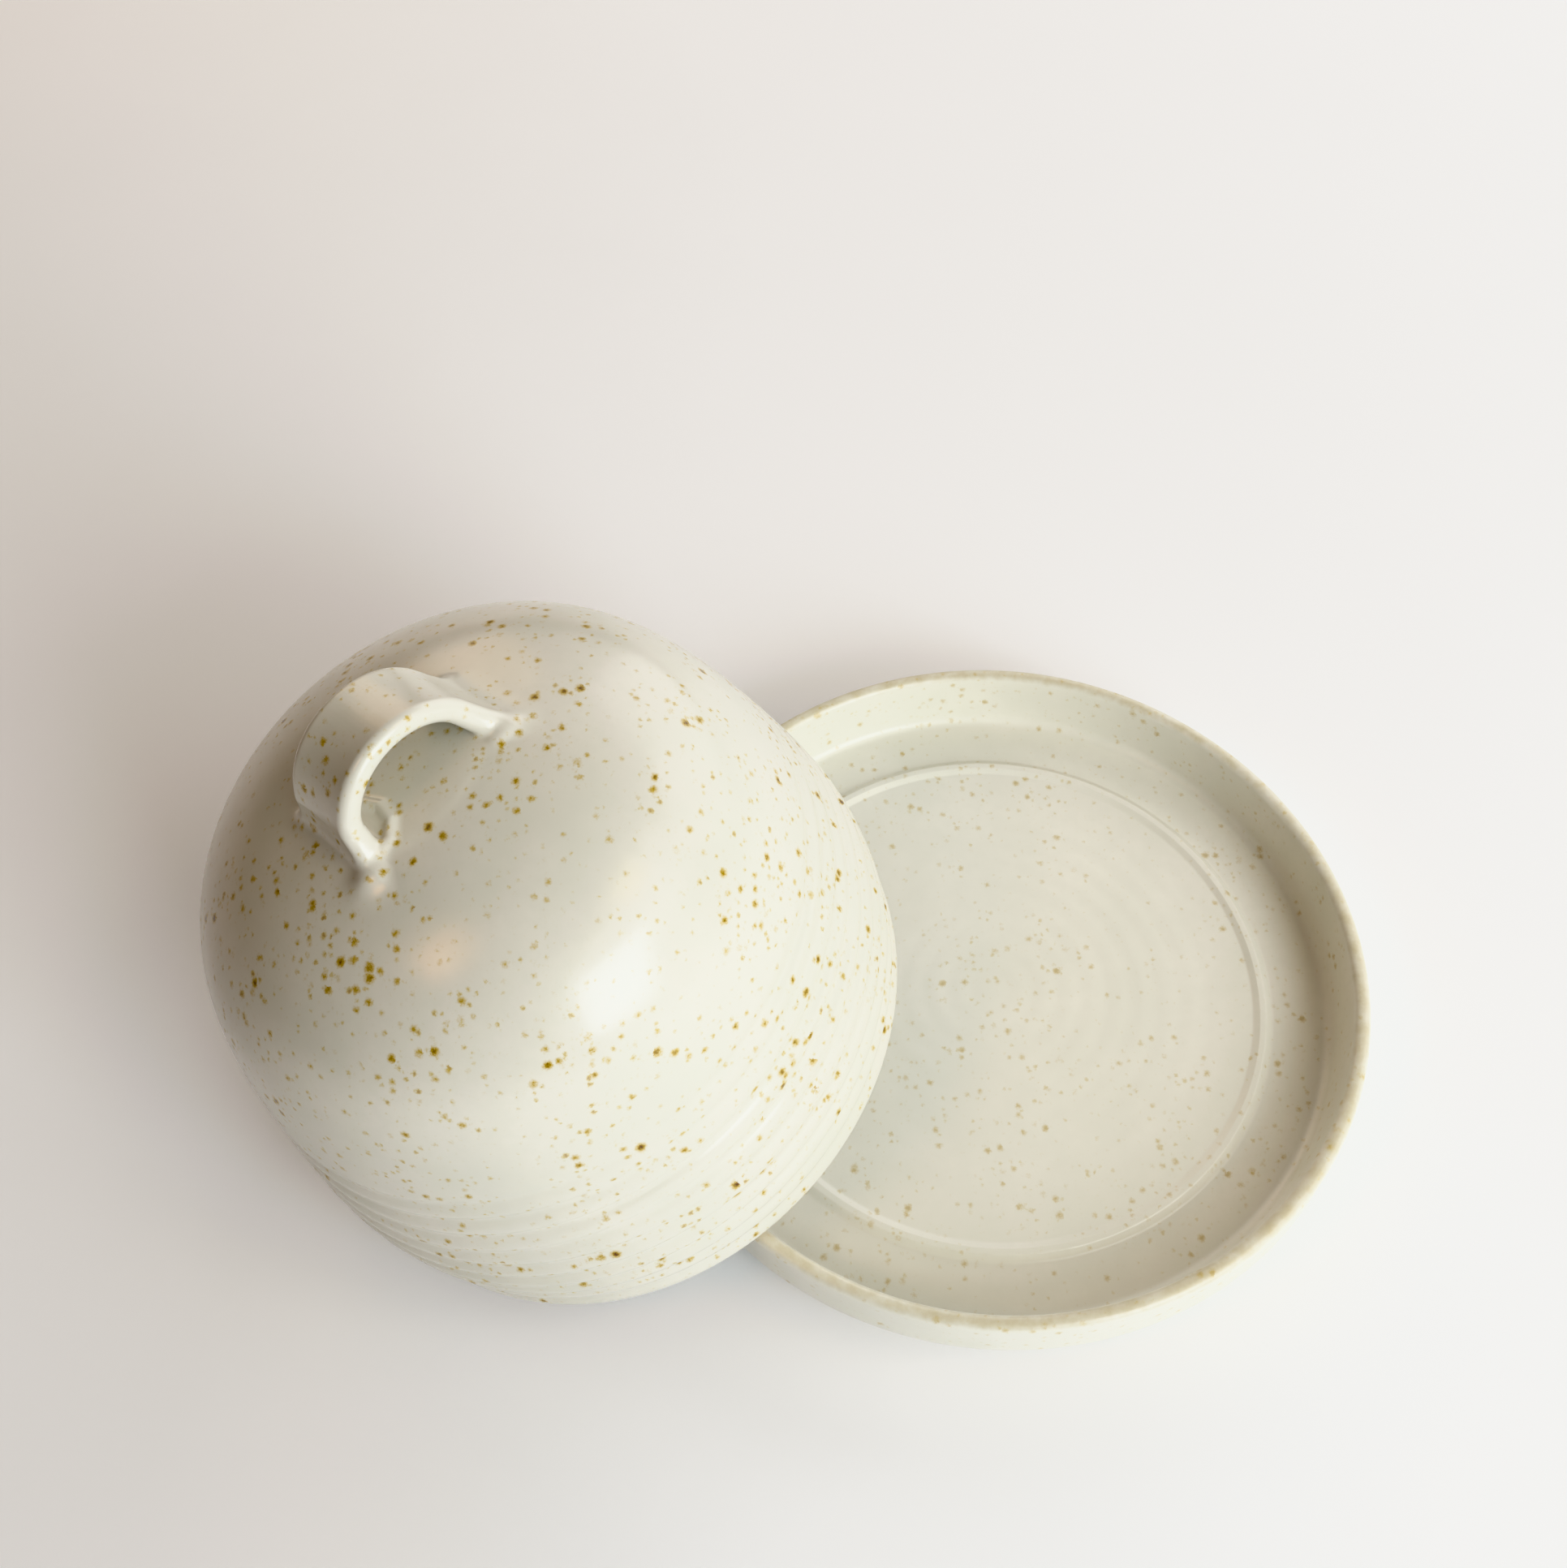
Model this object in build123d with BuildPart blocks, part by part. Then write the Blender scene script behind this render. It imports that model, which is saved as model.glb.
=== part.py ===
"""A stoneware butter keeper: a rimmed plate, and a domed lid with a strap handle that leans on it.

Millimetres, +Z up, standing on z = 0. The origin is the centre of the footprint of the whole set.
The plate stands on the +X side. The lid has been lifted off and leans on the plate's rim, so that
its lowest lip point rests on the table, on the -X side.
"""

import os
from math import cos, radians, sin

from build123d import *

# The plate, a thrown and trimmed piece. Radii are measured from its own upright axis.
plate_x = 38.75
plate_radius = 80.0
plate_height = 25.2
rim_thickness = 3.2
belly_height = 7.0
belly_inset = 3.2
wall_start_height = 13.0
wall_foot_radius = 74.7
wall_foot_fillet = 2.5
channel_height = 10.6
ring_radius = 59.8
ring_width = 4.4
ring_rise = 1.6
butter_floor_height = 11.0
foot_outer_radius = 66.0
foot_inner_radius = 57.0
foot_height = 4.5
foot_chamfer = 0.8

# The dome. Points are (radius from its axis, height above the plane of its mouth).
mouth_radius = 65.5
mouth_inner_radius = 62.3
lip_fillet = 1.5
outside_points = [(66.8, 15.0), (64.4, 38.0), (59.1, 62.0), (50.1, 82.0), (31.1, 94.7)]
dome_height = 99.7
inside_points = [(62.3, 15.0), (59.8, 37.0), (54.6, 60.0), (46.0, 78.4), (28.4, 89.4)]
hollow_height = 93.9

# Throwing grooves round the lower half of the dome.
groove_heights = [4.7, 10.4, 16.3, 22.1, 28.1, 34.0, 40.1, 48.8]
groove_radius = 7.0
groove_depth = 0.35

# How the lid leans: its axis tips away from the plate, in the plane y = 0.
lean = 15.8
lid_reach = 83.7

# The handle, a flat strap bent to an arch over the crown and turned away from the lean.
strap_turn = 45.0
strap_width = 15.0
strap_thickness = 4.8
strap_rounding = 2.1
arch_radius = 14.8
arch_height = 99.7
leg_angle = 22.0
foot_spread = 16.0
foot_width = 22.0
foot_thickness = 9.0
foot_rounding = 3.5
foot_level = 93.0

os.makedirs("parts", exist_ok=True)

# Places and directions that the leaning lid sets.
lid_up = Vector(-sin(radians(lean)), 0, cos(radians(lean)))
downhill = Vector(-cos(radians(lean)), 0, -sin(radians(lean)))
sideways = downhill.cross(lid_up)
# The lid's lowest point is on the rounding of its lip, and it touches the table.
lip_drop = (mouth_radius - lip_fillet) * sin(radians(lean)) + lip_fillet * (1 - cos(radians(lean)))
mouth_centre = Vector(plate_x - lid_reach, 0, lip_drop)
lid_axis = Axis(mouth_centre, lid_up)
lid_section = Plane(origin=mouth_centre, x_dir=downhill, z_dir=sideways)

# The handle's own directions: its span from foot to foot, and its width across the strap.
span = downhill * cos(radians(strap_turn)) - sideways * sin(radians(strap_turn))
across = lid_up.cross(span)
arch_centre = mouth_centre + lid_up * arch_height


def groove_centre(height):
    """The centre of the circle that cuts a groove at this height of the dome's outline."""
    low, high = 0.0, 1.0
    for _ in range(30):
        middle = (low + high) / 2
        if outline.position_at(middle).Y < height:
            low = middle
        else:
            high = middle
    return (outline.position_at(low).X + groove_radius - groove_depth, height)


# The plate: half of its section, turned about its axis.
with BuildPart() as plate:
    with BuildSketch(Plane(origin=(plate_x, 0, 0), x_dir=(1, 0, 0), z_dir=(0, -1, 0))):
        with BuildLine():
            underside = Polyline(
                (0, foot_height),
                (foot_inner_radius, foot_height),
                (foot_inner_radius, 0),
                (foot_outer_radius, 0),
                (foot_outer_radius, foot_height),
            )
            belly = Spline(
                underside @ 1,
                (plate_radius - belly_inset, belly_height),
                (plate_radius, wall_start_height),
                tangents=[(1, 0), (0, 1)],
            )
            wall = Polyline(
                belly @ 1,
                (plate_radius, plate_height),
                (plate_radius - rim_thickness, plate_height),
                (wall_foot_radius, channel_height),
                (ring_radius + ring_width / 2, channel_height),
            )
            ring = ThreePointArc(
                wall @ 1,
                (ring_radius, channel_height + ring_rise),
                (ring_radius - ring_width / 2, butter_floor_height),
            )
            Polyline(ring @ 1, (0, butter_floor_height), (0, foot_height))
        make_face()
    revolve(axis=Axis((plate_x, 0, 0), (0, 0, 1)))
    circles = plate.edges().filter_by(GeomType.CIRCLE)
    fillet(circles.group_by(Axis.Z)[-1], radius=rim_thickness / 2 - 0.05)
    circles = plate.edges().filter_by(GeomType.CIRCLE)
    wall_foot = circles.filter_by(lambda edge: abs(edge.radius - wall_foot_radius) < 0.01)
    fillet(wall_foot, radius=wall_foot_fillet)
    circles = plate.edges().filter_by(GeomType.CIRCLE)
    chamfer(circles.group_by(Axis.Z)[0], length=foot_chamfer)

# The dome as if it were solid clay, with its grooves.
outline = Spline((mouth_radius, 0), *outside_points, (0, dome_height), tangents=[(0, 1), (-1, 0)])
with BuildPart() as dome_core:
    with BuildSketch(lid_section):
        with BuildLine():
            add(outline)
            Polyline((0, dome_height), (0, 0), (mouth_radius, 0))
        make_face()
        with Locations([groove_centre(height) for height in groove_heights]):
            Circle(groove_radius, mode=Mode.SUBTRACT)
    revolve(axis=lid_axis)

# The dome: that core, hollowed from below, with a rounded lip.
with BuildPart() as lid_dome:
    add(dome_core.part)
    with BuildSketch(lid_section):
        with BuildLine():
            Spline((mouth_inner_radius, 0), *inside_points, (0, hollow_height), tangents=[(0, 1), (-1, 0)])
            Polyline((0, hollow_height), (0, 0), (mouth_inner_radius, 0))
        make_face()
    revolve(axis=lid_axis, mode=Mode.SUBTRACT)
    lip_radii = (mouth_radius, mouth_inner_radius)
    circles = lid_dome.edges().filter_by(GeomType.CIRCLE)
    fillet(circles.filter_by(lambda edge: round(edge.radius, 3) in lip_radii), radius=lip_fillet)

# The handle: an arch turned about a line across the strap, with legs that flare into the crown.
first_spoke = span * cos(radians(leg_angle)) + lid_up * sin(radians(leg_angle))
first_cut = Plane(origin=arch_centre, x_dir=first_spoke, z_dir=first_spoke.cross(across))
with BuildPart() as lid_handle:
    with BuildSketch(first_cut):
        with Locations((arch_radius, 0)):
            RectangleRounded(strap_thickness, strap_width, strap_rounding)
    revolve(axis=Axis(arch_centre, across * -1), revolution_arc=180 - 2 * leg_angle)
    with BuildSketch(first_cut):
        with Locations((arch_radius, 0)):
            RectangleRounded(strap_thickness, strap_width, strap_rounding)
    foot_plane = Plane(origin=mouth_centre + lid_up * foot_level, x_dir=span, z_dir=lid_up)
    with BuildSketch(foot_plane):
        with Locations((foot_spread, 0)):
            RectangleRounded(foot_thickness, foot_width, foot_rounding)
    loft()
    mirror(about=Plane(origin=arch_centre, x_dir=across, z_dir=span))
    add(dome_core.part, mode=Mode.SUBTRACT)

for piece, name in ((plate, "plate"), (lid_dome, "lid_dome"), (lid_handle, "lid_handle")):
    piece.part.label = name
    export_step(piece.part, f"parts/{name}.step")
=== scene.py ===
"""A glazed stoneware butter keeper: a rimmed plate, and a domed lid with a strap handle leaning on it.

The plate and the dome are turned on a lathe with a thrower's slight unevenness. The handle is a strap
of clay that melts into the dome, taken as the skin of one volume. Lengths are in millimetres until a
mesh is made, because the object is small; Blender works in metres.
"""

from math import cos, pi, radians, sin

import bpy
import numpy as np
import openvdb
from mathutils import Matrix, Vector


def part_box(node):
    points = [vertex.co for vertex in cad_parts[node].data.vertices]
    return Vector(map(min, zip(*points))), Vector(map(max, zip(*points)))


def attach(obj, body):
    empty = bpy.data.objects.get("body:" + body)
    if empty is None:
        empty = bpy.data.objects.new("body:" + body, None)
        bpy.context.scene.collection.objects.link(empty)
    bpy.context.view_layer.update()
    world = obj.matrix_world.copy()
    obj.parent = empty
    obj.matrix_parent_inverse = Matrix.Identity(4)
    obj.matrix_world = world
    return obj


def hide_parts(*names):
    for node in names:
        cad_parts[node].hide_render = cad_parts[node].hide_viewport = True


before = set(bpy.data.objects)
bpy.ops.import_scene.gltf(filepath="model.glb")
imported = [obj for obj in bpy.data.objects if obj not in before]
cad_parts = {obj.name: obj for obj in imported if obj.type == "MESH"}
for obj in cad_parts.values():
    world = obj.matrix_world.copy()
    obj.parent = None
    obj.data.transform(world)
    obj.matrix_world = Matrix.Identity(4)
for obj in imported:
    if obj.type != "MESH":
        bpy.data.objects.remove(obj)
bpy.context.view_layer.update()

MM = 0.001

# The camera: its place in millimetres, its turn in degrees and its lens in millimetres.
camera_place = (-3.89, -168.45, 359.40)
camera_turn = (33.089, 2.268, -3.372)
camera_lens = 39.16

# The plate, from its CAD box. Its outline's corners are (radius, height, rounding).
plate_low, plate_high = (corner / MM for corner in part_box("plate"))
plate_x = (plate_low.x + plate_high.x) / 2
plate_radius = (plate_high.x - plate_low.x) / 2
plate_height = plate_high.z
channel = 10.6
floor_of_plate = 11.0
ring_radius = 59.8
ring_top = 12.0
plate_corners = [
    (0, 4.5, 0),
    (57, 4.5, 1.0),
    (57.6, 0, 0.9),
    (65.4, 0, 0.9),
    (66.4, 4.3, 1.2),
    (plate_radius, 4.6, 8.0),
    (plate_radius, plate_height, 1.5),
    (plate_radius - 3.2, plate_height, 1.5),
    (74.7, channel, 2.6),
    (ring_radius + 2.4, channel, 1.2),
    (ring_radius + 0.9, ring_top, 0.7),
    (ring_radius - 0.4, ring_top, 0.7),
    (ring_radius - 1.8, floor_of_plate + 0.3, 1.5),
    (ring_radius - 9.0, floor_of_plate, 10.0),
    (0, floor_of_plate, 0),
]

# The dome: outline points are (radius, height over its mouth), as in the CAD part.
mouth_radius = 65.5
outside = [(mouth_radius, 0), (66.8, 15), (64.4, 38), (59.1, 62), (50.1, 82), (31.1, 94.7), (0, 99.7)]
mouth_inner_radius = 62.3
inside = [(mouth_inner_radius, 0), (62.3, 15), (59.8, 37), (54.6, 60), (46, 78.4), (28.4, 89.4), (0, 93.9)]
wall_middle = [(64, 0), (64.6, 15), (62.1, 38), (56.9, 61), (48, 80.2), (30, 92), (0, 96.8)]
lip_rounding = 1.3
first_groove = 4.7
groove_spacing = 5.85
groove_count = 9
groove_heights = [first_groove + groove_spacing * number for number in range(groove_count)]
groove_depth = 0.9
groove_width = 1.5
calm_height = 92.0

# How the lid leans on the plate's rim, with the lowest point of its lip on the table.
lean = radians(15.8)
lid_reach = 83.7
lip_fillet = 1.5
lip_drop = (mouth_radius - lip_fillet) * sin(lean) + lip_fillet * (1 - cos(lean))
downhill = Vector((-cos(lean), 0, -sin(lean)))
lid_up = Vector((-sin(lean), 0, cos(lean)))
sideways = lid_up.cross(downhill)
mouth_centre = Vector((plate_x - lid_reach, 0, lip_drop))
lid_frame = Matrix((downhill, sideways, lid_up)).transposed().to_4x4()
lid_frame.translation = mouth_centre

# The handle's own directions: its span from the near left foot to the far right one, and its width
# across the strap, away from the plate's near side.
strap_turn = radians(45)
span = -downhill * cos(strap_turn) - sideways * sin(strap_turn)
across = lid_up.cross(span)
handle_frame = Matrix((span, across, lid_up)).transposed().to_4x4()
handle_frame.translation = mouth_centre


# ---------------------------------------------------------------- curves and meshes


def smooth_curve(points, start, end, step):
    """Points about one step apart on the cubic spline through these, with the given end directions."""
    knots = np.array(points, float)
    gaps = np.linalg.norm(np.diff(knots, axis=0), axis=1)
    count = len(knots)
    matrix = np.eye(count)
    slopes = np.zeros_like(knots)
    slopes[0], slopes[-1] = start, end
    for i in range(1, count - 1):
        before, after = gaps[i - 1], gaps[i]
        matrix[i, i - 1 : i + 2] = (1 / before, 2 / before + 2 / after, 1 / after)
        rise_before = (knots[i] - knots[i - 1]) / before**2
        rise_after = (knots[i + 1] - knots[i]) / after**2
        slopes[i] = 3 * (rise_before + rise_after)
    slopes = np.linalg.solve(matrix, slopes)
    places = []
    for i, gap in enumerate(gaps):
        t = np.linspace(0, 1, max(2, round(gap / step)), endpoint=False)[:, None]
        places.append(
            (1 + 2 * t) * (1 - t) ** 2 * knots[i]
            + t * (1 - t) ** 2 * gap * slopes[i]
            + t * t * (3 - 2 * t) * knots[i + 1]
            + t * t * (t - 1) * gap * slopes[i + 1]
        )
    return np.vstack([*places, knots[-1:]])


def rounded_outline(corners, step):
    """A line through these (radius, height, rounding) corners, with each corner an arc."""
    places = [np.array(corners[0][:2], float)]
    for before, corner, after in zip(corners, corners[1:], corners[2:]):
        here = np.array(corner[:2], float)
        back = np.array(before[:2]) - here
        ahead = np.array(after[:2]) - here
        back /= np.linalg.norm(back)
        ahead /= np.linalg.norm(ahead)
        half_angle = np.arccos(np.clip(back @ ahead, -1, 1)) / 2
        reach = corner[2] / np.tan(half_angle)
        middle = (back + ahead) / np.linalg.norm(back + ahead)
        centre = here + middle * corner[2] / np.sin(half_angle)
        first = here + back * reach - centre
        last = here + ahead * reach - centre
        sweep = pi - 2 * half_angle
        for t in np.linspace(0, 1, max(6, round(corner[2] * sweep / 0.35))):
            places.append(
                centre + (np.sin((1 - t) * sweep) * first + np.sin(t * sweep) * last) / np.sin(sweep)
            )
    places.append(np.array(corners[-1][:2], float))
    line = [places[0]]
    for place in places[1:]:
        start = line[-1]
        pieces = max(1, round(np.linalg.norm(place - start) / step))
        line.extend(start + (place - start) * k / pieces for k in range(1, pieces + 1))
    return np.array(line)


def new_piece(name, places, faces, body, slot, node):
    """A smooth-shaded mesh from points in metres, riding on a body in place of a CAD node."""
    mesh = bpy.data.meshes.new(name)
    mesh.from_pydata(places, [], faces)
    mesh.shade_smooth()
    mesh.update()
    piece = bpy.data.objects.new(name, mesh)
    bpy.context.scene.collection.objects.link(piece)
    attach(piece, body)
    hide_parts(node)
    return piece


def turned_places(profile, segments, unevenness):
    """Rings of points round the Z axis, one for each point of the profile, in millimetres."""
    angle = np.linspace(0, 2 * pi, segments, endpoint=False)[None, :]
    radius, height = profile[:, :1], profile[:, 1:]
    radius_here, height_here = unevenness(radius, height, angle)
    x = radius_here * np.cos(angle)
    y = radius_here * np.sin(angle)
    z = height_here + 0 * angle
    return np.stack([x, y, z], axis=-1).reshape(-1, 3)


def turned_faces(rings, segments):
    """Quads between the rings, and a fan at each end where the profile meets its axis."""
    faces = []
    for ring in range(1, rings - 2):
        a = ring * segments
        b = a + segments
        for k in range(segments):
            n = (k + 1) % segments
            faces.append((a + k, a + n, b + n, b + k))
    first, last = 0, (rings - 1) * segments
    for k in range(segments):
        n = (k + 1) % segments
        faces.append((first, segments + n, segments + k))
        faces.append((last, last - segments + k, last - segments + n))
    return faces


def turned_piece(name, profile, placing, unevenness, segments, **riding):
    """A lathe-turned mesh whose profile starts and ends on the axis."""
    places = turned_places(profile, segments, unevenness)
    matrix = np.array(placing)
    world = (places @ matrix[:3, :3].T + matrix[:3, 3]) * MM
    rings = len(profile)
    used = np.ones(len(world), bool)
    used[1:segments] = False
    used[(rings - 1) * segments + 1 :] = False
    new_number = np.cumsum(used) - 1
    faces = [[int(new_number[v]) for v in face] for face in turned_faces(rings, segments)]
    return new_piece(name, world[used].tolist(), faces, **riding)


# ---------------------------------------------------------------- materials


def linear(red, green, blue):
    """A colour given as 0 to 255 screen values, as the linear values that a shader takes."""
    screen = np.array([red, green, blue]) / 255
    values = np.where(screen <= 0.04045, screen / 12.92, ((screen + 0.055) / 1.055) ** 2.4)
    return (*values.tolist(), 1.0)


class Nodes:
    """Short calls that add a node to a material and link what is passed to it."""

    def __init__(self, name):
        self.material = bpy.data.materials.new(name)
        self.material.use_nodes = True
        self.tree = self.material.node_tree
        self.shader = self.tree.nodes["Principled BSDF"]
        self.place = self.add("ShaderNodeTexCoord").outputs["Object"]

    def add(self, kind, settings=None, **inputs):
        node = self.tree.nodes.new(kind)
        for key, value in (settings or {}).items():
            setattr(node, key, value)
        for key, value in inputs.items():
            self.feed(node.inputs[key.replace("_", " ")], value)
        return node

    def feed(self, socket, value):
        if isinstance(value, bpy.types.NodeSocket):
            self.tree.links.new(value, socket)
        else:
            socket.default_value = value

    def math(self, operation, first, second=0.0, clamp=False):
        node = self.add("ShaderNodeMath", {"operation": operation, "use_clamp": clamp})
        self.feed(node.inputs[0], first)
        self.feed(node.inputs[1], second)
        return node.outputs[0]

    def vector(self, operation, first, second=(0, 0, 0)):
        node = self.add("ShaderNodeVectorMath", {"operation": operation})
        self.feed(node.inputs[0], first)
        self.feed(node.inputs[1], second)
        return node

    def ramp(self, value, low, high, to_low=0.0, to_high=1.0):
        node = self.add("ShaderNodeMapRange", {"interpolation_type": "SMOOTHSTEP"}, Value=value)
        self.feed(node.inputs["From Min"], low)
        self.feed(node.inputs["From Max"], high)
        self.feed(node.inputs["To Min"], to_low)
        self.feed(node.inputs["To Max"], to_high)
        return node.outputs["Result"]

    def noise(self, wavelength, detail=2.0, roughness=0.5, place=None):
        node = self.add("ShaderNodeTexNoise", Vector=place or self.place)
        self.feed(node.inputs["Scale"], 1 / (wavelength * MM))
        self.feed(node.inputs["Detail"], detail)
        self.feed(node.inputs["Roughness"], roughness)
        return node


def mixed(nodes, share, first, second):
    """A colour between two others."""
    node = nodes.add("ShaderNodeMix", {"data_type": "RGBA"})
    sockets = {socket.identifier: socket for socket in node.inputs}
    nodes.feed(sockets["Factor_Float"], share)
    nodes.feed(sockets["A_Color"], first)
    nodes.feed(sockets["B_Color"], second)
    return next(socket for socket in node.outputs if socket.identifier == "Result_Color")


# Fine, middling and large iron specks: spacing, largest radius, softness of the edge, rarity of
# the large ones, strength, and the colours of their cores and of their edges.
speck_layers = (
    (0.9, 0.36, 0.30, 1.5, 0.25, (170, 150, 76), (190, 174, 96)),
    (1.5, 0.80, 0.56, 1.45, 0.75, (140, 100, 20), (192, 166, 50)),
    (2.6, 1.36, 0.95, 1.10, 1.0, (88, 48, 4), (186, 156, 30)),
)
speck_raggedness = 1.7 * MM
surface_relief = 0.02 * MM


def speck_layer(nodes, place, spacing, largest, softness, rarity, crowding):
    """How much of an iron speck covers each point, and how near the point is to a dark core."""
    cells = nodes.add("ShaderNodeTexVoronoi", {"feature": "F1"}, Vector=place)
    cells.inputs["Scale"].default_value = 1 / (spacing * MM)
    parts = nodes.add("ShaderNodeSeparateColor")
    nodes.feed(parts.inputs[0], cells.outputs["Color"])
    share = nodes.math("POWER", parts.outputs[0], rarity)
    radius = nodes.math("MULTIPLY", share, largest / spacing)
    radius = nodes.math("MULTIPLY", radius, crowding)
    depth = nodes.math("SUBTRACT", radius, cells.outputs["Distance"])
    cover = nodes.ramp(depth, 0.0, softness / spacing)
    core = nodes.ramp(depth, 0.35 * largest / spacing, 1.0 * largest / spacing)
    return cover, core


def glaze(name, base, thick, thin, roughness, speck_strength, speck_size):
    """Satin off-white glaze over speckled stoneware, tan where it runs thin over an edge."""
    nodes = Nodes(name)
    edge = nodes.add("ShaderNodeAttribute", {"attribute_name": "thin_glaze"}).outputs["Fac"]
    cloud = nodes.noise(22, 3, 0.55).outputs["Fac"]
    mottle = nodes.noise(2.6, 3, 0.6).outputs["Fac"]
    colour = mixed(nodes, nodes.ramp(cloud, 0.3, 0.75), base, thick)
    fine_grain = nodes.ramp(mottle, 0.3, 0.75, 0.0, 0.35)
    colour = mixed(nodes, fine_grain, colour, thick)
    ragged = nodes.noise(3.5, 3, 0.6).outputs["Fac"]
    worn = nodes.math("ADD", edge, nodes.math("MULTIPLY", nodes.math("SUBTRACT", ragged, 0.5), 0.5))
    colour = mixed(nodes, nodes.ramp(worn, 0.3, 0.95), colour, thin)

    bend = nodes.noise(0.7, 4, 0.8).outputs["Color"]
    bend = nodes.vector("SUBTRACT", bend, (0.5, 0.5, 0.5)).outputs[0]
    bend = nodes.vector("MULTIPLY", bend, (speck_raggedness,) * 3).outputs[0]
    place = nodes.vector("ADD", nodes.place, bend).outputs[0]
    clusters = nodes.noise(16, 2, 0.6).outputs["Fac"]
    crowding = nodes.ramp(clusters, 0.3, 0.7, 0.62 * speck_size, 1.2 * speck_size)

    relief = None
    for spacing, largest, softness, rarity, strength, dark, light in speck_layers:
        cover, core = speck_layer(nodes, place, spacing, largest, softness, rarity, crowding)
        core = nodes.math("MULTIPLY", core, speck_strength**2)
        tone = mixed(nodes, core, linear(*light), linear(*dark))
        share = nodes.math("MULTIPLY", cover, strength * speck_strength)
        colour = mixed(nodes, share, colour, tone)
        relief = share if relief is None else nodes.math("MAXIMUM", relief, share)

    peel = nodes.noise(3.2, 2, 0.5).outputs["Fac"]
    height = nodes.math("MULTIPLY", peel, surface_relief)
    height = nodes.math("ADD", height, nodes.math("MULTIPLY", relief, surface_relief))
    bump = nodes.add("ShaderNodeBump", Height=height)
    bump.inputs["Distance"].default_value = 1.0
    bump.inputs["Strength"].default_value = 0.6
    gloss = nodes.ramp(cloud, 0.3, 0.7, roughness - 0.02, roughness + 0.03)
    nodes.feed(nodes.shader.inputs["Base Color"], colour)
    nodes.feed(nodes.shader.inputs["Roughness"], gloss)
    nodes.feed(nodes.shader.inputs["Normal"], bump.outputs["Normal"])
    nodes.shader.inputs["IOR"].default_value = 1.6
    return nodes.material


def bare_clay():
    """Unglazed stoneware, sanded smooth, with grog and iron in it."""
    nodes = Nodes("bare_clay")
    grain = nodes.noise(0.8, 4, 0.65).outputs["Fac"]
    colour = mixed(nodes, nodes.ramp(grain, 0.3, 0.7), linear(196, 172, 140), linear(222, 204, 176))
    cover, _ = speck_layer(nodes, nodes.place, 2.2, 0.6, 0.25, 1.5, 1.0)
    colour = mixed(nodes, nodes.math("MULTIPLY", cover, 0.7), colour, linear(120, 84, 46))
    bump = nodes.add("ShaderNodeBump", Height=nodes.math("MULTIPLY", grain, 0.08 * MM))
    bump.inputs["Distance"].default_value = 1.0
    nodes.feed(nodes.shader.inputs["Base Color"], colour)
    nodes.feed(nodes.shader.inputs["Normal"], bump.outputs["Normal"])
    nodes.shader.inputs["Roughness"].default_value = 0.85
    return nodes.material


def paint(piece, glaze_material, clay_material, thinness, is_bare):
    """Gives a piece its glaze, its bare clay faces and the places where the glaze is thin."""
    mesh = piece.data
    mesh.materials.append(glaze_material)
    mesh.materials.append(clay_material)
    places = np.zeros(len(mesh.vertices) * 3)
    mesh.vertices.foreach_get("co", places)
    places = places.reshape(-1, 3) / MM
    attribute = mesh.attributes.new("thin_glaze", "FLOAT", "POINT")
    attribute.data.foreach_set("value", thinness(places).astype(np.float32))
    centres = np.zeros(len(mesh.polygons) * 3)
    mesh.polygons.foreach_get("center", centres)
    bare = is_bare(centres.reshape(-1, 3) / MM)
    mesh.polygons.foreach_set("material_index", bare.astype(np.int32))


# ---------------------------------------------------------------- the plate


def plate_unevenness(radius, height, angle):
    """A thrown plate is a little out of round, and its rim a little wavy."""
    size = radius / plate_radius
    out_of_round = 0.28 * np.cos(2 * angle + 0.6) + 0.12 * np.cos(3 * angle + 2.1)
    wave = 0.12 * np.cos(2 * angle + 1.9) + 0.07 * np.cos(5 * angle)
    lift = np.clip((height - 4.5) / 10, 0, 1) * size**3
    turning = 0.05 * np.sin(radius * 1.15) * (radius < ring_radius - 6) * (height > 8)
    return radius + out_of_round * size**4 * np.clip(height / 10, 0, 1), height + wave * lift + turning


def plate_axis_distance(places):
    return np.hypot(places[:, 0] - plate_x, places[:, 1])


def plate_thinness(places):
    """The glaze breaks to tan on the rim, the ring and the turn into the foot."""
    radius = plate_axis_distance(places)
    height = places[:, 2]
    rim = 0.66 * np.clip((height - plate_height + 2.2) / 2.2, 0, 1)
    ring = 0.35 * np.exp(-(((radius - ring_radius - 0.9) / 0.9) ** 2)) * (height > channel)
    turn = 0.6 * np.exp(-(((height - 3.5) / 1.5) ** 2)) * (radius > 60)
    return rim + ring + turn


def plate_is_bare(centres):
    radius = plate_axis_distance(centres)
    return (centres[:, 2] < 1.6) & (radius > 50)


# ---------------------------------------------------------------- the dome


def dome_profile():
    """The inside from its crown down, round the lip, and the outside up to the crown."""
    outer = smooth_curve(outside, (0, 1), (-1, 0), 0.55)
    inner = smooth_curve(inside, (0, 1), (-1, 0), 1.6)
    outer = outer[outer[:, 1] >= lip_rounding]
    outer = np.vstack([outer[:-1], [(0, outside[-1][1])]])
    inner = inner[inner[:, 1] >= lip_rounding][::-1]
    turn = np.linspace(0, pi / 2, 7)
    inner_turn = np.c_[
        mouth_inner_radius + lip_rounding * (1 - np.cos(turn)), lip_rounding * (1 - np.sin(turn))
    ]
    outer_turn = np.c_[
        mouth_radius - lip_rounding * (1 - np.sin(turn)), lip_rounding * (1 - np.cos(turn))
    ]
    return np.vstack([inner, inner_turn, outer_turn, outer])


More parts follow.
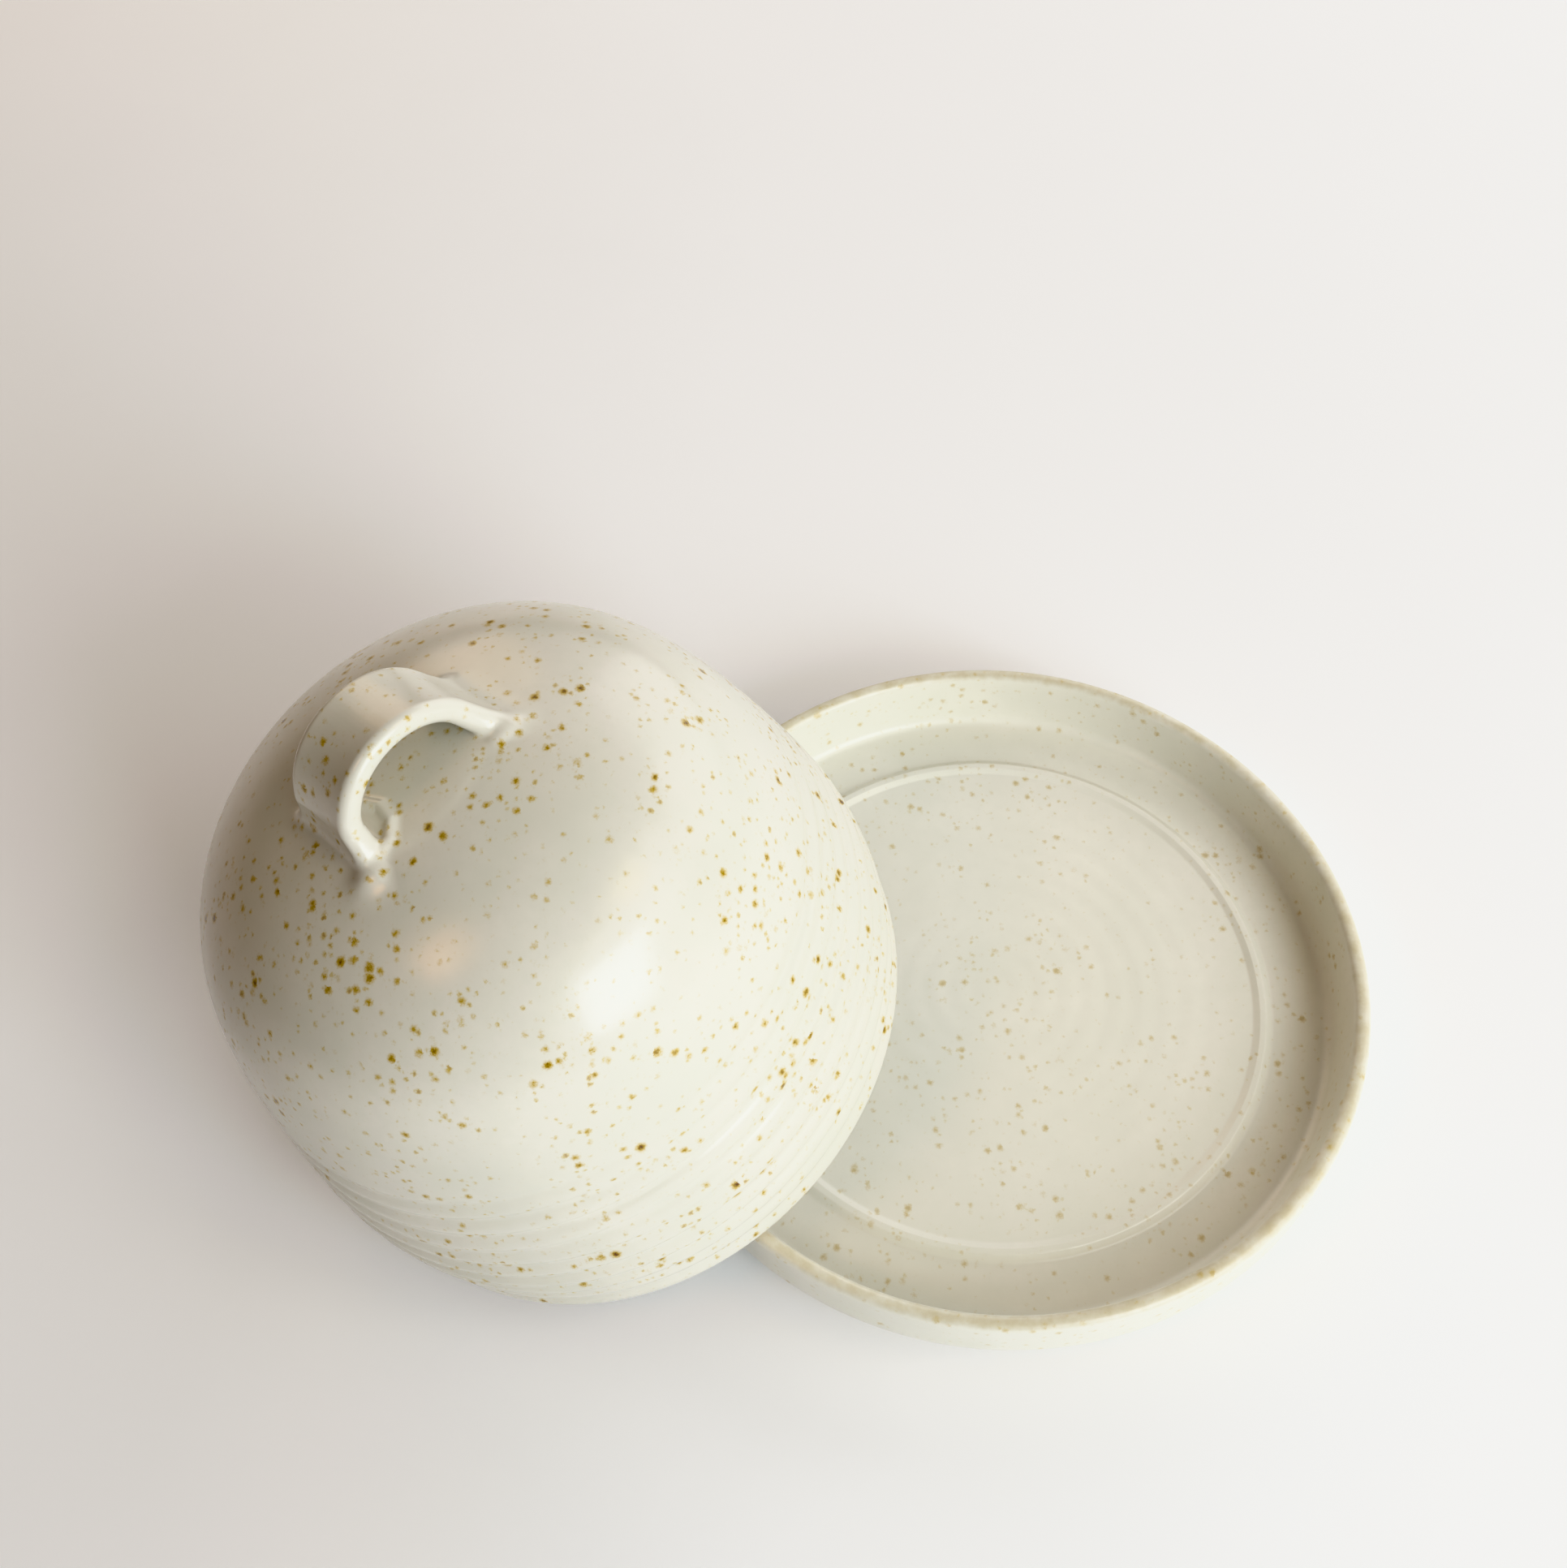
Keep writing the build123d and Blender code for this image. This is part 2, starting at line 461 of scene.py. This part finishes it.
def dome_unevenness(radius, height, angle):
    """Throwing grooves round the outside, and a mouth that is slightly oval."""
    height_share = np.clip(1 - height / calm_height, 0, 1)
    oval = 1 + height_share * (-0.0104 * np.cos(2 * angle) + 0.0037 * np.sin(2 * angle))
    on_outside = np.clip(radius - wall_middle_radius(height), 0, 1)
    groove = 0
    for number, level in enumerate(groove_heights):
        drift = 0.25 * np.sin(angle + 0.9 * number)
        depth = groove_depth * (1 - 0.6 * (number / groove_count) ** 2)
        depth = depth * (1 + 0.25 * np.sin(2 * angle + 1.7 * number))
        groove = groove + depth * np.exp(-(((height - level - drift) / groove_width) ** 2))
    wobble = 0.10 * np.sin(3 * angle + height / 14) + 0.06 * np.sin(5 * angle - height / 9)
    wobble = wobble * height_share
    return radius * oval + wobble - groove * on_outside, height


def wall_middle_radius(height):
    """The radius of the middle of the dome's wall at each height: the outside is beyond it."""
    radii, heights = zip(*wall_middle)
    return np.interp(height, heights, radii)


def lid_height(places):
    return (places - np.array(mouth_centre)) @ np.array(lid_up)


def dome_thinness(places):
    """The glaze is thin at the lip and, a little, on the ridges between the grooves."""
    height = lid_height(places)
    lip = 0.75 * np.clip((2.4 - height) / 2.4, 0, 1)
    ridge_heights = [level + groove_spacing / 2 for level in groove_heights[:6]]
    ridges = sum(np.exp(-(((height - level) / 0.7) ** 2)) for level in ridge_heights)
    return lip + 0.34 * ridges


def dome_is_bare(centres):
    return lid_height(centres) < 0.35


# ---------------------------------------------------------------- the handle

arch_half_span = 14.5
arch_rise = 13.3
arch_height = 99.7
arch_middle = 1.3
strap_half_thickness = 2.2
welt_line = [(-7.4, 1.5), (-5.8, -2.5), (-6.4, -6.4), (-9.0, -8.9), (-12.2, -9.4)]
welt_radius = 0.8
toes = [((-15.0, -10.4, 97.9), 1.5, (1.4, 1.0, 0.7)), ((16.8, -10.6, 97.7), 1.4, (1.6, 1.0, 0.8))]
grid_low = np.array([-34.0, -22.0, 86.0])
grid_high = np.array([34.0, 27.0, 120.0])
grid_step = 0.4
skin_edge = 0.005

crown = smooth_curve(outside, (0, 1), (-1, 0), 0.55)[::-1]


def strap_line():
    """The strap's middle line in the plane of its span: an arch, and short legs into the crown."""
    turn = np.radians(np.linspace(161, 21, 60))
    arch = np.c_[arch_middle + arch_half_span * np.cos(turn), arch_height + arch_rise * np.sin(turn)]
    left_leg = arch[0] + np.outer(np.linspace(1, 0.1, 8), (-1.7, -9.5))
    right_leg = arch[-1] + np.outer(np.linspace(0.1, 1, 8), (3.9, -9.5))
    return np.vstack([left_leg, arch, right_leg])


def along_strap(w, h):
    """For points in the plane of the span: the nearest place along the strap, 0 to 1, and the
    distance from its middle line, positive on the outside of the arch."""
    line = strap_line()
    starts, ends = line[:-1], line[1:]
    steps = ends - starts
    length_before = np.r_[0, np.cumsum(np.linalg.norm(steps, axis=1))]
    points = np.stack([w, h], axis=-1).reshape(-1, 1, 2)
    best_gap = np.full(points.shape[0], np.inf)
    along = np.zeros(points.shape[0])
    side = np.zeros(points.shape[0])
    for start, step, before in zip(starts, steps, length_before):
        offset = points[:, 0] - start
        t = np.clip(offset @ step / (step @ step), 0, 1)
        gap = offset - t[:, None] * step
        distance = np.hypot(gap[:, 0], gap[:, 1])
        closer = distance < best_gap
        turned = step[0] * offset[:, 1] - step[1] * offset[:, 0]
        best_gap = np.where(closer, distance, best_gap)
        along = np.where(closer, before + t * np.linalg.norm(step), along)
        side = np.where(closer, np.where(turned > 0, 1.0, -1.0), side)
    return (along / length_before[-1]).reshape(w.shape), (best_gap * side).reshape(w.shape)


def dome_distance(w, u, h):
    """Roughly how far a point is outside the dome's skin, near its crown."""
    radius = np.hypot(w, u)
    level = np.interp(radius, crown[:, 0], crown[:, 1])
    slope = np.interp(radius, crown[:, 0], np.gradient(crown[:, 1], crown[:, 0]))
    return (h - level) / np.sqrt(1 + slope**2)


def melt(first, second, reach):
    """The union of two solids, with a fillet of about this reach where they meet."""
    overlap = np.clip(reach - np.abs(first - second), 0, None) / reach
    return np.minimum(first, second) - overlap**3 * reach / 6


def ball(w, u, h, centre, radius, squash):
    """How far a point is outside an ellipsoid, roughly."""
    gaps = [(a - b) / s for a, b, s in zip((w, u, h), centre, squash)]
    return (np.sqrt(sum(gap * gap for gap in gaps)) - radius) * min(squash)


def strap_distance(s, n, u):
    """How far a point is outside the strap: s is along it, n is out from it, u is across it."""
    left = np.clip(1 - s / 0.22, 0, 1) ** 1.5
    right = np.clip((s - 0.78) / 0.22, 0, 1) ** 1.5
    near = -7.5 - 5.4 * left - 4.6 * right
    far = 9.4 + 3.6 * left - 2.0 * right
    middle, half_width = (near + far) / 2, (far - near) / 2
    share = (u - middle) / half_width
    half_thickness = strap_half_thickness - 0.25 * share + 0.5 * left + 0.5 * right
    dish = 0.55 * np.clip(1 - share**2, 0, 1) * np.clip(n / 1.5, 0, 1)
    rounding = half_thickness * 0.92
    q_across = np.abs(u - middle) - (half_width - rounding)
    q_out = np.abs(n + dish) - (half_thickness - rounding)
    outside_part = np.hypot(np.clip(q_across, 0, None), np.clip(q_out, 0, None))
    return outside_part + np.minimum(np.maximum(q_across, q_out), 0) - rounding


def welt_distance(w, u, above):
    """How far a point is outside the thin ridge left where the near foot was pressed on."""
    gap = np.full(np.shape(w), np.inf)
    for (w_start, u_start), (w_end, u_end) in zip(welt_line, welt_line[1:]):
        step = (w_end - w_start, u_end - u_start)
        t = ((w - w_start) * step[0] + (u - u_start) * step[1]) / (step[0] ** 2 + step[1] ** 2)
        t = np.clip(t, 0, 1)
        gap = np.minimum(gap, np.hypot(w - w_start - t * step[0], u - u_start - t * step[1]))
    return np.hypot(gap, above + 0.1) - welt_radius


def handle_distance(w, u, h, s, n):
    """How far a point is outside the handle and the dome, as one fired piece."""
    dome = dome_distance(w, u, h)
    clay = strap_distance(s, n, u)
    for centre, radius, squash in toes:
        clay = melt(clay, ball(w, u, h, centre, radius, squash), 2.0)
    joined = melt(clay, dome, 2.0 + 3.0 * np.clip((n + 1) / 3, 0, 1))
    return melt(joined, welt_distance(w, u, dome), 2.2)


def handle_at(points):
    """handle_distance at points in the handle's own frame."""
    w, u, h = points.T
    s, n = along_strap(w, h)
    return handle_distance(w, u, h, s, n)


def slope_at(points):
    """The direction in which handle_at grows fastest, by small steps."""
    nudge = 0.02
    columns = []
    for axis in np.eye(3):
        rise = handle_at(points + axis * nudge) - handle_at(points - axis * nudge)
        columns.append(rise / (2 * nudge))
    return np.stack(columns, axis=-1)


def handle_skin():
    """The handle's skin: points in the handle's frame, quads, and the direction out at each point."""
    axes = [np.arange(low, high, grid_step) for low, high in zip(grid_low, grid_high)]
    w_plane, h_plane = np.meshgrid(axes[0], axes[2], indexing="ij")
    s, n = along_strap(w_plane, h_plane)
    w, u, h = np.meshgrid(*axes, indexing="ij")
    field = handle_distance(w, u, h, s[:, None, :], n[:, None, :])
    grid = openvdb.FloatGrid(grid_step)
    grid.copyFromArray(field.astype(np.float32))
    points, quads = grid.convertToQuads(0.0)
    points = points.astype(float) * grid_step + grid_low
    # The grid's own bottom closes the volume, so what lies along it is left out.
    quads = quads[(points[quads][:, :, 2] > grid_low[2] + 2 * grid_step).all(axis=1)]
    used, quads = np.unique(quads, return_inverse=True)
    points, quads = points[used], quads.reshape(-1, 4)
    for _ in range(4):
        slope = slope_at(points)
        points -= handle_at(points)[:, None] * slope / (slope**2).sum(axis=1)[:, None]
    outward = slope_at(points)
    outward /= np.linalg.norm(outward, axis=1)[:, None]
    return points, quads, outward


def build_handle():
    """Keeps the part of the skin that stands off the dome, with its edge tucked just under it."""
    points, quads, outward = handle_skin()
    height = dome_distance(*points.T)
    kept = quads[height[quads].max(axis=1) > skin_edge]
    edge = height < skin_edge
    points[edge] -= 0.02 * outward[edge]
    used, faces = np.unique(kept, return_inverse=True)
    matrix = np.array(handle_frame)
    world = (points[used] @ matrix[:3, :3].T + matrix[:3, 3]) * MM
    normals = outward[used] @ matrix[:3, :3].T
    handle = new_piece(
        "strap_handle", world.tolist(), faces.reshape(-1, 4).tolist(), "lid", "lid_glaze", "lid_handle"
    )
    handle.data.normals_split_custom_set_from_vertices(normals.tolist())
    return handle


def handle_thinness(places):
    """The glaze is a little thin along the strap's edges."""
    matrix = np.array(handle_frame.inverted())
    local = places @ matrix[:3, :3].T + matrix[:3, 3]
    lifted = np.clip((local[:, 2] - 101) / 6, 0, 1)
    return 0.28 * lifted * np.clip((np.abs(local[:, 1] + 0.3) - 5.6) / 1.6, 0, 1)


# ---------------------------------------------------------------- the room


def add_camera():
    camera = bpy.data.cameras.new("camera")
    camera.lens = camera_lens
    camera.sensor_width = 36
    camera.clip_start = 0.01
    holder = bpy.data.objects.new("camera", camera)
    holder.location = Vector(camera_place) * MM
    holder.rotation_euler = [radians(a) for a in camera_turn]
    bpy.context.scene.collection.objects.link(holder)
    bpy.context.scene.camera = holder


def add_floor():
    """A wide, plain, pale table top."""
    mesh = bpy.data.meshes.new("table_top")
    size = 3.0
    corners = [(-size, -size, 0), (size, -size, 0), (size, size, 0), (-size, size, 0)]
    mesh.from_pydata(corners, [], [(0, 1, 2, 3)])
    floor = bpy.data.objects.new("table_top", mesh)
    bpy.context.scene.collection.objects.link(floor)
    nodes = Nodes("table_top")
    cloud = nodes.noise(60, 2, 0.5).outputs["Fac"]
    colour = mixed(nodes, cloud, linear(246, 246, 246), linear(249, 249, 249))
    nodes.feed(nodes.shader.inputs["Base Color"], colour)
    nodes.shader.inputs["Roughness"].default_value = 0.75
    mesh.materials.append(nodes.material)


def add_soft_light(name, azimuth, elevation, distance, size, power, colour, aim=(0, 0, 0.04)):
    """A soft panel facing a point, in a direction from it given in degrees from +X."""
    light = bpy.data.lights.new(name, "AREA")
    light.shape = "RECTANGLE"
    light.size, light.size_y = size
    light.energy = power
    light.color = colour
    holder = bpy.data.objects.new(name, light)
    direction = Vector(
        (
            cos(radians(azimuth)) * cos(radians(elevation)),
            sin(radians(azimuth)) * cos(radians(elevation)),
            sin(radians(elevation)),
        )
    )
    holder.location = Vector(aim) + direction * distance
    holder.rotation_euler = direction.to_track_quat("Z", "Y").to_euler()
    bpy.context.scene.collection.objects.link(holder)


def add_lights():
    """A window at the front right, paler panels round to the back, and two faint warm room lamps."""
    white = (1.0, 1.0, 1.0)
    cool = (0.87, 0.94, 1.0)
    warm = (1.0, 0.80, 0.50)
    amber = (1.0, 0.52, 0.22)
    add_soft_light("window", -39, 27, 0.95, (0.90, 1.05), 3.3, white)
    add_soft_light("window_high", -14, 45, 1.0, (0.6, 0.6), 1.3, white)
    add_soft_light("window_near", -70, 45, 1.0, (0.6, 0.6), 0.75, (1.0, 1.0, 0.8))
    add_soft_light("front_right", -59, 40.6, 0.77, (0.55, 0.70), 10.2, cool, aim=(0.3, -0.3, 0))
    add_soft_light("back_right", 45, 25, 1.0, (1.3, 0.8), 4.4, white)
    add_soft_light("back", 78, 30, 1.05, (1.8, 0.9), 4.3, white)
    add_soft_light("back_left", 110, 40.5, 0.77, (0.6, 0.6), 1.7, (1.0, 0.68, 0.38), aim=(-0.3, 0.45, 0))
    add_soft_light("lamp_high", -19, 61, 1.0, (0.18, 0.24), 0.55, warm)
    add_soft_light("lamp_behind", -150, 54, 1.0, (0.22, 0.22), 0.7, amber)
    world = bpy.data.worlds.new("room")
    bpy.context.scene.world = world
    world.use_nodes = True
    background = world.node_tree.nodes["Background"]
    background.inputs["Color"].default_value = (1.0, 0.92, 0.84, 1)
    background.inputs["Strength"].default_value = 0.02
    bpy.context.scene.view_settings.view_transform = "Khronos PBR Neutral"


# ---------------------------------------------------------------- everything together

add_camera()

clay = bare_clay()
# The plate and the lid carry one glaze. The plate's base and thick colours are painted lighter than the
# lid's, as painted light for the brighter light on the plate. Its specks are made fainter, partly as the
# same painted light and partly for blur.
plate_glaze = glaze(
    "plate_glaze", linear(230, 227, 214), linear(222, 220, 206), linear(190, 177, 138),
    roughness=0.31, speck_strength=0.6, speck_size=0.86,
)
# The lid's base and thick colours are the darker, painted-shade copy of the plate's glaze.
lid_glaze = glaze(
    "lid_glaze", linear(218, 214, 201), linear(209, 207, 193), linear(206, 190, 156),
    roughness=0.22, speck_strength=1.0, speck_size=1.0,
)

plate_matrix = Matrix.Translation((plate_x, 0, 0))
plate_profile = rounded_outline(plate_corners, 1.6)
plate = turned_piece(
    "butter_plate", plate_profile, plate_matrix, plate_unevenness, 288,
    body="base", slot="plate_glaze", node="plate",
)
paint(plate, plate_glaze, clay, plate_thinness, plate_is_bare)

dome = turned_piece(
    "dome_lid", dome_profile(), lid_frame, dome_unevenness, 280,
    body="lid", slot="lid_glaze", node="lid_dome",
)
paint(dome, lid_glaze, clay, dome_thinness, dome_is_bare)

handle = build_handle()
paint(handle, lid_glaze, clay, handle_thinness, lambda centres: np.zeros(len(centres), bool))

add_floor()
add_lights()
